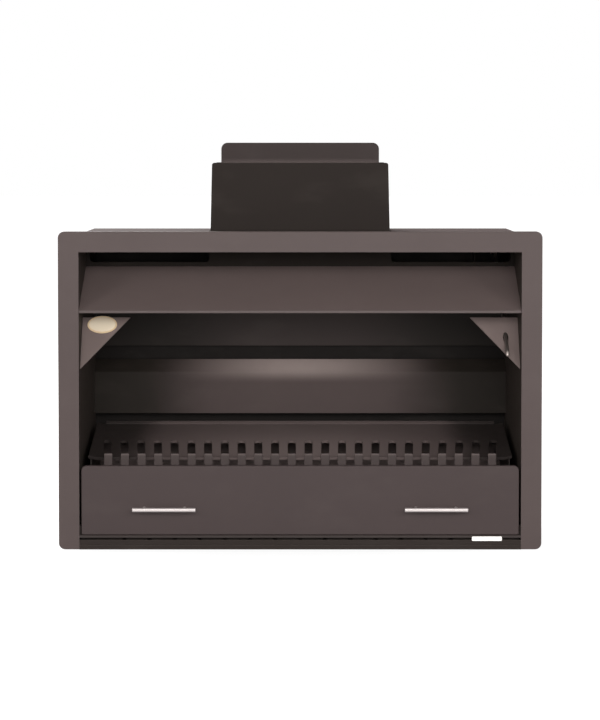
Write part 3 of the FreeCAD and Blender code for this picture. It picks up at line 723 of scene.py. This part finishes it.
class Finishes(Enum):
    """Every finish on the fireplace."""

    FASCIA = SatinPaint("fascia_satin", (94, 82, 80), (128, 114, 110))
    FASCIA_EDGE = SatinPaint(
        "fascia_edge_matt", (94, 82, 80), (128, 114, 110), roughness=0.65, sheen_level=0.02)
    # Hood: lighter than the fascia paint, painted light on the recessed sheet; the worn colour
    # darkens the lip below its height limit as painted shade.
    HOOD = SatinPaint(
        "hood_satin", (114, 100, 97), (96, 84, 82), wear_share=0.1,
        painted_band=PaintedLightBand(full=0.5705, gone=0.5725))
    # Gussets: lighter than the fascia paint, painted light on the plates under the hood lip.
    GUSSET = SatinPaint("gusset_satin", (130, 115, 111), (140, 126, 121))
    # Drawer front: darker than the fascia paint, painted shade of the lower front.
    DRAWER = SatinPaint("drawer_satin", (77, 66, 65), (116, 103, 100))
    # Hearth sill: darker still, painted shade under the drawer.
    HEARTH = SatinPaint("hearth_satin", (62, 54, 52), (98, 88, 85), roughness=0.55)
    # Fire back and smoke plate are far darker than the fascia paint, as painted shade inside the
    # opening; their lighter middle patch and streak are painted light.
    FIRE_BACK = SatinPaint(
        "fire_back_matt", (41, 36, 32), (84, 75, 71), roughness=0.55, sheen_level=0.08,
        painted_light=PaintedLight(patch=(83, 72, 70), streak=(145, 131, 126), core=0.2, reach=0.42))
    SMOKE = SatinPaint(
        "smoke_plate_matt", (42, 37, 34), (80, 71, 68), roughness=0.6,
        painted_light=PaintedLight(patch=(66, 58, 56), streak=(66, 58, 56), core=0.0, reach=0.4))
    # Lining and air panel are far darker than the fascia paint: painted shade inside the opening
    # and behind the hood.
    LINING = SatinPaint("lining_matt", (49, 43, 40), (80, 71, 68), roughness=0.6)
    # Side panel: inner faces darker than the outside, painted shade inside the firebox.
    SIDE_PANEL = SatinPaint(
        "side_panel_matt", (53, 46, 42), (92, 82, 78), roughness=0.6, sheen_level=0.1,
        outer=OUTSIDE_COLOUR)
    AIR_PANEL = SatinPaint(
        "air_panel_matt", (36, 31, 28), (60, 53, 50), roughness=0.7, sheen_level=0.06)
    # Back panel: inner face darkened as painted shade in the gap above the fire back.
    BACK_PANEL = SatinPaint(
        "back_panel_matt", (28, 24, 22), (92, 82, 78), roughness=0.6, sheen_level=0.1,
        outer=OUTSIDE_COLOUR)
    # Plinth: strong, even edge wear that stands as a painted highlight on its step.
    PLINTH = SatinPaint(
        "plinth_matt", (56, 49, 46), (92, 83, 79), roughness=0.6, wear_radius=0.002,
        wear_share=0.9, patchiness=0.2, sheen_level=0.08)
    CASING = SatinPaint(
        "casing_matt", (50, 44, 41), (84, 76, 71), roughness=0.62, peel=0.14, sheen_level=0.06)
    # Casing top: a little lighter than the fascia paint, painted light on the grazed top strip.
    CASING_TOP = SatinPaint(
        "casing_top_matt", (104, 91, 89), (122, 109, 105), roughness=0.65, sheen_level=0.01)
    # Grate: dark base as painted shade inside the opening; its lighter middle patch is light from
    # the flue and its lighter front streak is front light, both painted.
    GRATE = SatinPaint(
        "grate_matt", (44, 38, 36), (104, 92, 89), roughness=0.55, wear_share=0.5,
        painted_light=PaintedLight(patch=(84, 73, 71), streak=(118, 104, 101), core=0.33, reach=0.42,
                          streak_reach=0.52, streak_low=0.262, streak_high=0.212))
    # Comb: the worn colour at the tooth tops is a painted highlight.
    COMB = SatinPaint(
        "comb_satin", (80, 70, 68), (110, 98, 95), roughness=0.5, wear_share=0.5,
        painted_band=PaintedLightBand(full=0.2205, gone=0.2145))
    # Tray: lighter than the rest of the lining, painted light in the grate slots that look onto
    # it.
    TRAY = SatinPaint("tray_matt", (96, 84, 81), (92, 82, 79), roughness=0.6)
    DAMPER = SatinPaint(
        "damper_satin", (69, 60, 58), (108, 96, 93), roughness=0.5, sheen_level=0.08)
    ROD = BrushedMetal("rod_steel", (160, 150, 144), (104, 95, 90), roughness=0.5)
    STEEL = BrushedMetal("drawn_steel", (150, 145, 140), (92, 88, 84), roughness=0.36)
    BRASS = BrushedMetal("turned_brass", (206, 164, 98), (150, 110, 58), roughness=0.32)
    STAINLESS = BrushedMetal(
        "brushed_stainless", (198, 190, 188), (146, 139, 136), roughness=0.52)
    TAB = BrushedMetal("bright_tab", (240, 235, 231), (214, 208, 204), roughness=0.34)
    BADGE = SatinPaint(
        "badge_enamel_blank", (255, 237, 210), (214, 176, 128), roughness=0.3, variation=0.08,
        grain=2400.0, wear_share=0.4, dust=0.0)
    BADGE_RIM = SatinPaint(
        "badge_rim_gilt", (246, 218, 176), (240, 214, 176), roughness=0.3, variation=0.1,
        grain=2400.0, wear_share=0.4, dust=0.0)


class PaintShop:
    """Builds each finish once and hands it out."""

    def __init__(self) -> None:
        """Builds the shared effects; finishes follow when they are first asked for."""
        self.effects = Effects()
        self.made: dict[Finishes, bpy.types.Material] = {}

    def material(self, finish: Finishes) -> bpy.types.Material:
        """Material of a finish, built at the first call.

        Args:
            finish: the finish.

        Returns:
            Its material.
        """
        if finish not in self.made:
            self.made[finish] = finish.value.build(self.effects)
        return self.made[finish]

    def dress_nodes(self, names: Iterable[str], finish: Finishes) -> None:
        """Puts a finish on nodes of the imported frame.

        Args:
            names: the nodes.
            finish: what they are finished with.
        """
        for name in names:
            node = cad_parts[name]
            node.data.materials.clear()
            node.data.materials.append(self.material(finish))
            log.info("node %s: %s", name, finish.name.lower())

    def place_piece(
        self, name: str, mesh: bmesh.types.BMesh, finish: Finishes, body: Body
    ) -> None:
        """Turns a finished bmesh into a piece that rides on a body.

        Args:
            name: name of the piece.
            mesh: its shape, in place; it is freed here.
            finish: what it is finished with.
            body: the body that it moves with.
        """
        bmesh.ops.remove_doubles(mesh, verts=mesh.verts, dist=JOIN_DISTANCE)
        bmesh.ops.recalc_face_normals(mesh, faces=mesh.faces)
        data = bpy.data.meshes.new(name)
        mesh.to_mesh(data)
        mesh.free()
        data.shade_smooth()
        data.set_sharp_from_angle(angle=SMOOTH_ANGLE)
        data.materials.append(self.material(finish))
        piece = bpy.data.objects.new(name, data)
        bpy.context.scene.collection.objects.link(piece)
        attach(piece, body.value)
        log.info("piece %s: %d faces on %s", name, len(data.polygons), body.value)


def dome(
    mesh: bmesh.types.BMesh, radius: float, rise: float, place: Matrix,
    segments: int = HEAD_SEGMENTS,
) -> None:
    """Adds one low round head, closed underneath, to a mesh.

    Args:
        mesh: the mesh it goes into.
        radius: half its width.
        rise: its height.
        place: its frame; the head rises along the frame's Z.
        segments: faces round its foot.
    """
    head = bmesh.new()
    bmesh.ops.create_uvsphere(head, u_segments=segments, v_segments=HEAD_RINGS, radius=radius)
    everything = list(head.verts) + list(head.edges) + list(head.faces)
    bmesh.ops.bisect_plane(
        head, geom=everything, plane_co=(0, 0, 0), plane_no=(0, 0, 1), clear_inner=True)
    bmesh.ops.edgeloop_fill(head, edges=[e for e in head.edges if e.is_boundary])
    bmesh.ops.scale(head, verts=head.verts, vec=(1.0, 1.0, rise / radius))
    bmesh.ops.transform(head, matrix=place, verts=head.verts)
    data = bpy.data.meshes.new("head")
    head.to_mesh(data)
    head.free()
    mesh.from_mesh(data)
    bpy.data.meshes.remove(data)


def raise_ring(mesh: bmesh.types.BMesh, width: float, rise: float) -> None:
    """Turns a mesh of one flat face into a closed ring along the face's outline.

    Args:
        mesh: the mesh.
        width: width of the ring, inwards from the outline.
        rise: height of the ring.
    """
    inner = list(mesh.faces)
    bmesh.ops.inset_region(
        mesh, faces=inner, thickness=width, use_boundary=True, use_even_offset=True)
    bmesh.ops.delete(mesh, geom=inner, context="FACES")
    raised = bmesh.ops.extrude_face_region(mesh, geom=list(mesh.faces), use_keep_orig=True)
    lifted = [v for v in raised["geom"] if isinstance(v, bmesh.types.BMVert)]
    bmesh.ops.translate(mesh, verts=lifted, vec=(0, 0, rise))
    bmesh.ops.recalc_face_normals(mesh, faces=mesh.faces)


def round_edges(
    mesh: bmesh.types.BMesh, wanted: Callable[[Vector], bool], offset: float
) -> None:
    """Rounds the sharp edges that have both ends in a wanted region.

    Args:
        mesh: the mesh.
        wanted: whether a point lies in the region.
        offset: how far the rounding reaches from each edge.
    """
    edges = [e for e in mesh.edges
             if all(wanted(v.co) for v in e.verts) and e.calc_face_angle(0.0) > SHARP_ANGLE]
    bmesh.ops.bevel(mesh, geom=edges, offset=offset, affect="EDGES", segments=BEVEL_SEGMENTS,
                    profile=0.5, material=-1)


@dataclass
class FasciaAndCasing:
    """Fascia, plinth, outer casing and its fixings."""

    edge_nodes: Sequence[str] = ("fascia_edge_left", "fascia_edge_right", "fascia_edge_top")
    casing_nodes: Sequence[str] = ("base_plate", "wall_lugs")
    casing_half: float = 529.0 * MM
    casing_height: float = 750.0 * MM
    casing_front: float = FRONT_Y + 40.0 * MM
    casing_back: float = FRONT_Y + 450.0 * MM
    rivet_radius: float = 5.0 * MM
    rivet_rise: float = 2.2 * MM
    rivet_margin: float = 16.0 * MM
    rivets_across: int = 9
    rivets_up: int = 6

    @staticmethod
    def between(low: float, high: float, count: int) -> list[float]:
        """Evenly spaced places from a low to a high end.

        Args:
            low: the first place.
            high: the last place.
            count: how many there are.

        Returns:
            The places.
        """
        return [low + (high - low) * step / (count - 1) for step in range(count)]

    def rivet_places(self) -> list[Matrix]:
        """Frames of the rivets round the back panel and along the side panels.

        Returns:
            One frame for each rivet, with Z pointing out of its panel.
        """
        wide = self.casing_half - self.rivet_margin
        low, high = self.rivet_margin, self.casing_height - self.rivet_margin
        across = self.between(-wide, wide, self.rivets_across)
        upwards = self.between(low, high, self.rivets_up)
        spots = [(x, z) for x in across for z in (low, high)]
        spots += [(x, z) for x in (-wide, wide) for z in upwards[1:-1]]
        rear = Matrix.Rotation(-math.pi / 2, 4, "X")
        places = [Matrix.Translation((x, self.casing_back, z)) @ rear for x, z in spots]
        for side in (-1, 1):
            out = Matrix.Rotation(side * math.pi / 2, 4, "Y")
            for y in (self.casing_front, self.casing_back - self.rivet_margin):
                places += [Matrix.Translation((side * self.casing_half, y, z)) @ out
                           for z in upwards]
        return places

    def build(self, shop: PaintShop) -> None:
        """Dresses the nodes and adds the rivets.

        Args:
            shop: gives the finishes.
        """
        shop.dress_nodes(("fascia_frame",), Finishes.FASCIA)
        shop.dress_nodes(self.edge_nodes, Finishes.FASCIA_EDGE)
        shop.dress_nodes(self.casing_nodes, Finishes.CASING)
        shop.dress_nodes(("casing_top",), Finishes.CASING_TOP)
        shop.dress_nodes(("back_panel",), Finishes.BACK_PANEL)
        shop.dress_nodes(("plinth",), Finishes.PLINTH)
        shop.dress_nodes(("hearth_plate",), Finishes.HEARTH)
        heads = bmesh.new()
        for place in self.rivet_places():
            dome(heads, self.rivet_radius, self.rivet_rise, place)
        shop.place_piece("casing_rivets", heads, Finishes.STEEL, Body.CASING)


@dataclass
class Firebox:
    """Lining of the firebox, the hood and the warm-air panel."""

    gusset_nodes: Sequence[str] = ("gusset_left", "gusset_right")
    side_nodes: Sequence[str] = ("side_panel_left", "side_panel_right")

    def build(self, shop: PaintShop) -> None:
        """Dresses the nodes.

        Args:
            shop: gives the finishes.
        """
        shop.dress_nodes(("hood",), Finishes.HOOD)
        shop.dress_nodes(self.gusset_nodes, Finishes.GUSSET)
        shop.dress_nodes(self.side_nodes, Finishes.SIDE_PANEL)
        shop.dress_nodes(("firebox_roof",), Finishes.LINING)
        shop.dress_nodes(("fire_back",), Finishes.FIRE_BACK)
        shop.dress_nodes(("smoke_plate",), Finishes.SMOKE)
        shop.dress_nodes(("air_outlet_panel",), Finishes.AIR_PANEL)


@dataclass
class BlankBadge:
    """Plain oval badge plate with a raised rim, on the slope of its gusset."""

    centre: Vector = field(
        default_factory=lambda: Vector((-478.0 * MM, -116.16 * MM, 529.5 * MM)))
    slope_back: float = 74.0
    slope_up: float = 118.0
    half_width: float = 35.75 * MM
    half_height: float = 23.5 * MM
    plate: float = 2.0 * MM
    edge: float = 0.9 * MM
    rim_width: float = 2.6 * MM
    rim_rise: float = 0.9 * MM
    rim_round_share: float = 0.7
    crown_rise: float = 0.6 * MM
    oval_segments: int = 72

    def frame_matrix(self) -> Matrix:
        """Frame of the plate's front face.

        Returns:
            The frame, with Z out of the face.
        """
        across = Vector((1.0, 0.0, 0.0))
        up = Vector((0.0, self.slope_back, self.slope_up)).normalized()
        out = across.cross(up)
        turn = Matrix((across, up, out)).transposed().to_4x4()
        return Matrix.Translation(self.centre + out * self.plate) @ turn

    def rim(self) -> bmesh.types.BMesh:
        """Raised ring along the plate's edge.

        Returns:
            A bmesh of the ring, in the plate's own frame.
        """
        mesh = bmesh.new()
        made = bmesh.ops.create_circle(
            mesh, cap_ends=True, segments=self.oval_segments, radius=1.0)["verts"]
        scale = (self.half_width - self.edge, self.half_height - self.edge, 1.0)
        bmesh.ops.scale(mesh, verts=made, vec=scale)
        raise_ring(mesh, self.rim_width, self.rim_rise)
        round_edges(mesh, lambda spot: spot.z > self.rim_rise / 2,
                    self.rim_rise * self.rim_round_share)
        return mesh

    def crowned_face(self) -> bmesh.types.BMesh:
        """Field inside the rim, closed underneath and a little higher in the middle.

        Returns:
            A bmesh of the field, in the plate's own frame.
        """
        mesh = bmesh.new()
        inset = self.edge + self.rim_width / 2
        low, wide = self.half_height - inset, self.half_width - inset
        widen = Matrix.Diagonal((wide / low, 1.0, 1.0, 1.0))
        dome(mesh, low, self.crown_rise, widen, self.oval_segments)
        return mesh

    def build(self, shop: PaintShop) -> None:
        """Dresses the plate and adds its rim and field.

        Args:
            shop: gives the finishes.
        """
        shop.dress_nodes(("badge_plate",), Finishes.BADGE_RIM)
        for name, mesh, finish in (("badge_rim", self.rim(), Finishes.BADGE_RIM),
                                   ("badge_field", self.crowned_face(), Finishes.BADGE)):
            bmesh.ops.transform(mesh, matrix=self.frame_matrix(), verts=mesh.verts)
            shop.place_piece(name, mesh, finish, Body.CASING)


@dataclass
class DrawerAndGrate:
    """Ash drawer with its pulls, comb and lift-out grate."""

    tray_nodes: Sequence[str] = ("tray_floor", "tray_front_wall", "tray_rear_wall")
    tray_side_nodes: Sequence[str] = ("tray_side_left", "tray_side_right")
    runner_nodes: Sequence[str] = ("drawer_runner_left", "drawer_runner_right")
    pull_nodes: Sequence[str] = ("pull_left", "pull_right")

    def build(self, shop: PaintShop) -> None:
        """Dresses the nodes.

        Args:
            shop: gives the finishes.
        """
        shop.dress_nodes(("drawer_front",), Finishes.DRAWER)
        shop.dress_nodes(("grate",), Finishes.GRATE)
        shop.dress_nodes(("grate_comb",), Finishes.COMB)
        shop.dress_nodes(self.tray_nodes, Finishes.TRAY)
        shop.dress_nodes(self.tray_side_nodes, Finishes.LINING)
        shop.dress_nodes(self.runner_nodes, Finishes.CASING)
        shop.dress_nodes(self.pull_nodes, Finishes.STAINLESS)
        shop.dress_nodes(("pull_screws",), Finishes.STEEL)


@dataclass
class FlueAndDamper:
    """Flue stub with its damper blade, shaft and push rod."""

    stub_nodes: Sequence[str] = ("flue_stub", "shaft_bracket", "damper_stop")
    blade_nodes: Sequence[str] = ("damper_blade", "damper_crank")
    half_width: float = 220.0 * MM
    front: float = FRONT_Y + 188.0 * MM
    back: float = FRONT_Y + 393.0 * MM
    foot: float = 750.0 * MM
    bead: float = 4.0 * MM
    bead_round_share: float = 0.8

    def weld_bead(self) -> bmesh.types.BMesh:
        """Rounded weld bead round the foot of the stub.

        Returns:
            A bmesh of the bead, in place.
        """
        mesh = bmesh.new()
        made = bmesh.ops.create_grid(mesh, x_segments=1, y_segments=1, size=1.0)["verts"]
        half_depth = (self.back - self.front) / 2 + self.bead
        bmesh.ops.scale(mesh, verts=made, vec=(self.half_width + self.bead, half_depth, 1.0))
        raise_ring(mesh, self.bead, self.bead)
        wide = self.half_width + self.bead / 2
        deep = half_depth - self.bead / 2

        def outer_top(spot: Vector) -> bool:
            """Whether a point lies on the upper outline of the bead.

            Args:
                spot: the point.

            Returns:
                True if it does.
            """
            return spot.z > self.bead / 2 and (abs(spot.x) > wide or abs(spot.y) > deep)

        round_edges(mesh, outer_top, self.bead * self.bead_round_share)
        place = Matrix.Translation((0, (self.front + self.back) / 2, self.foot))
        bmesh.ops.transform(mesh, matrix=place, verts=mesh.verts)
        return mesh

    def build(self, shop: PaintShop) -> None:
        """Dresses the nodes and adds the weld bead.

        Args:
            shop: gives the finishes.
        """
        shop.dress_nodes(self.stub_nodes, Finishes.CASING)
        shop.dress_nodes(self.blade_nodes, Finishes.DAMPER)
        shop.dress_nodes(("damper_shaft",), Finishes.STEEL)
        shop.dress_nodes(("damper_rod",), Finishes.ROD)
        shop.dress_nodes(("damper_bushes",), Finishes.BRASS)
        shop.place_piece("flue_weld", self.weld_bead(), Finishes.CASING, Body.CASING)


@dataclass
class AirRegulator:
    """Room-air inlet with its slide and tab."""

    inlet_nodes: Sequence[str] = ("air_inlet_plate", "regulator_keepers", "air_regulator")

    def build(self, shop: PaintShop) -> None:
        """Dresses the nodes.

        Args:
            shop: gives the finishes.
        """
        shop.dress_nodes(self.inlet_nodes, Finishes.CASING)
        shop.dress_nodes(("regulator_tab",), Finishes.TAB)


@dataclass(frozen=True)
class Softbox:
    """One soft studio lamp."""

    name: str
    place: Triple
    aim: Triple
    width: float
    height: float
    level: float

    def light(self) -> None:
        """Adds the lamp; a level of one alone shows a facing colour as it is written."""
        reach = Vector(self.aim) - Vector(self.place)
        lamp = bpy.data.lights.new(self.name, "AREA")
        lamp.shape = "RECTANGLE"
        lamp.size, lamp.size_y = self.width, self.height
        lamp.energy = self.level * math.pi ** 2 * reach.length_squared
        stand = bpy.data.objects.new(self.name, lamp)
        stand.location = self.place
        stand.visible_camera = False
        stand.rotation_euler = reach.to_track_quat("-Z", "Y").to_euler()
        bpy.context.scene.collection.objects.link(stand)


FIRE_FRONT: Triple = (0.0, -0.2, 0.45)

LAMPS: Sequence[Softbox] = (
    Softbox("front_softbox", (0.3, -4.8, 1.5), FIRE_FRONT, width=3.6, height=1.7, level=0.6),
    Softbox("left_softbox", (-3.0, -3.2, 1.6), FIRE_FRONT, width=1.2, height=1.4, level=0.16),
    Softbox("right_softbox", (3.0, -3.2, 1.6), FIRE_FRONT, width=1.2, height=1.4, level=0.16),
    Softbox("left_side_softbox", (-4.4, 0.5, 1.8), (-0.5, 0.1, 0.4),
            width=1.6, height=1.4, level=0.6),
    Softbox("right_side_softbox", (4.4, 0.5, 1.8), (0.5, 0.1, 0.4),
            width=1.6, height=1.4, level=0.6),
    Softbox("flue_softbox", (0.0, 0.07, 0.925), (0.0, 0.1, 0.35),
            width=0.42, height=0.16, level=0.22),
    Softbox("rear_softbox", (-1.4, 4.0, 3.0), (0.0, 0.1, 0.5),
            width=2.4, height=1.6, level=0.9),
)


@dataclass
class Studio:
    """Pale floor, soft lamps, white surround and the camera."""

    eye_distance: float = 5.3
    eye_height: float = 0.952
    centre_x_px: float = 300.15
    horizon_px: float = 150.0
    focal_px: float = 2224.6
    focal_trim: float = 1.006
    row_trim: float = 0.5
    level_height: float = 0.42
    shift: float = -0.17
    image_width: int = 600
    image_height: int = 720
    sensor: float = 36.0
    ambient: float = 0.1
    floor_reach: float = 40.0
    floor_drop: float = 0.0003
    floor_tone: float = 0.3
    floor_roughness: float = 0.9
    near_glow: float = 0.82
    near_reach: float = 0.8
    white_reach: float = 2.6
    lamps: Sequence[Softbox] = LAMPS

    def camera(self) -> None:
        """Adds the camera, pitched so that its shift stays small."""
        eye = Vector((0.0, FRONT_Y - self.eye_distance, self.eye_height))
        eye_data = bpy.data.cameras.new("camera")
        eye_data.sensor_fit = "AUTO"
        eye_data.sensor_width = self.sensor
        focal = self.focal_px * self.focal_trim
        eye_data.lens = focal * self.sensor / self.image_height
        eye_data.shift_y = self.shift
        eye_data.shift_x = (self.image_width / 2 - self.centre_x_px) / self.image_height
        drop = (eye.z - self.level_height) / (FRONT_Y - eye.y)
        row = self.horizon_px + self.focal_px * drop + self.row_trim
        axis_row = self.image_height / 2 + self.shift * self.image_height
        pitch = math.atan(drop) - math.atan((row - axis_row) / focal)
        stand = bpy.data.objects.new("camera", eye_data)
        stand.location = eye
        stand.rotation_euler = (math.pi / 2 - pitch, 0.0, 0.0)
        bpy.context.scene.collection.objects.link(stand)
        bpy.context.scene.camera = stand

    @staticmethod
    def seen_directly(bench: NodeBench) -> Socket:
        """Tells rays that show the surround from rays that light the object.

        Args:
            bench: adds the nodes.

        Returns:
            The socket of one for the former and zero for the latter.
        """
        path = bench.add("ShaderNodeLightPath")
        shown = bench.math("MAXIMUM", path.outputs["Is Camera Ray"], path.outputs["Is Glossy Ray"])
        return bench.math("MAXIMUM", shown, path.outputs["Is Transmission Ray"])

    def surround(self) -> None:
        """White surround that gives only a share of its light."""
        world = bpy.data.worlds.new("surround")
        world.use_nodes = True
        bpy.context.scene.world = world
        bench = NodeBench(world.node_tree)
        shown = self.seen_directly(bench)
        strength = bench.math("MULTIPLY_ADD", shown, 1.0 - self.ambient, self.ambient)
        backing = world.node_tree.nodes["Background"]
        bench.feed(backing, {"Color": WHITE, "Strength": strength})

    def floor_paint(self) -> bpy.types.Material:
        """Paint that shows white but keeps the shadow.

        Returns:
            The floor's material.
        """
        pale, bench, shader = new_material("pale_floor")
        away = bench.add("ShaderNodeVectorMath", {0: bench.place()}, operation="LENGTH")
        far = bench.ramp(away.outputs["Value"], self.near_reach, self.white_reach)
        white = bench.math("MULTIPLY_ADD", far, 1.0 - self.near_glow, self.near_glow)
        glow = bench.math("MULTIPLY", self.seen_directly(bench), white)
        bench.feed(shader, {
            "Roughness": self.floor_roughness,
            "Base Color": (self.floor_tone, self.floor_tone, self.floor_tone, 1.0),
            "Emission Color": WHITE, "Emission Strength": glow,
        })
        return pale

    def floor(self) -> None:
        """Adds the pale floor, a hair below the object."""
        mesh = bmesh.new()
        bmesh.ops.create_grid(mesh, x_segments=1, y_segments=1, size=self.floor_reach)
        bmesh.ops.translate(mesh, verts=mesh.verts, vec=(0, 0, -self.floor_drop))
        data = bpy.data.meshes.new("floor")
        mesh.to_mesh(data)
        mesh.free()
        data.materials.append(self.floor_paint())
        ground = bpy.data.objects.new("floor", data)
        bpy.context.scene.collection.objects.link(ground)

    def build(self) -> None:
        """Sets up the whole studio."""
        bpy.context.scene.view_settings.view_transform = "Standard"
        self.camera()
        self.surround()
        self.floor()
        for lamp in self.lamps:
            lamp.light()


def main() -> None:
    """Builds the fireplace's looks and the studio round it."""
    logging.basicConfig(level=logging.INFO, format="%(name)s: %(message)s")
    shop = PaintShop()
    for assembly in (FasciaAndCasing(), Firebox(), BlankBadge(), DrawerAndGrate(),
                     FlueAndDamper(), AirRegulator()):
        assembly.build(shop)
        log.info("built %s", type(assembly).__name__)
    Studio().build()


if __name__ == "__main__":
    main()
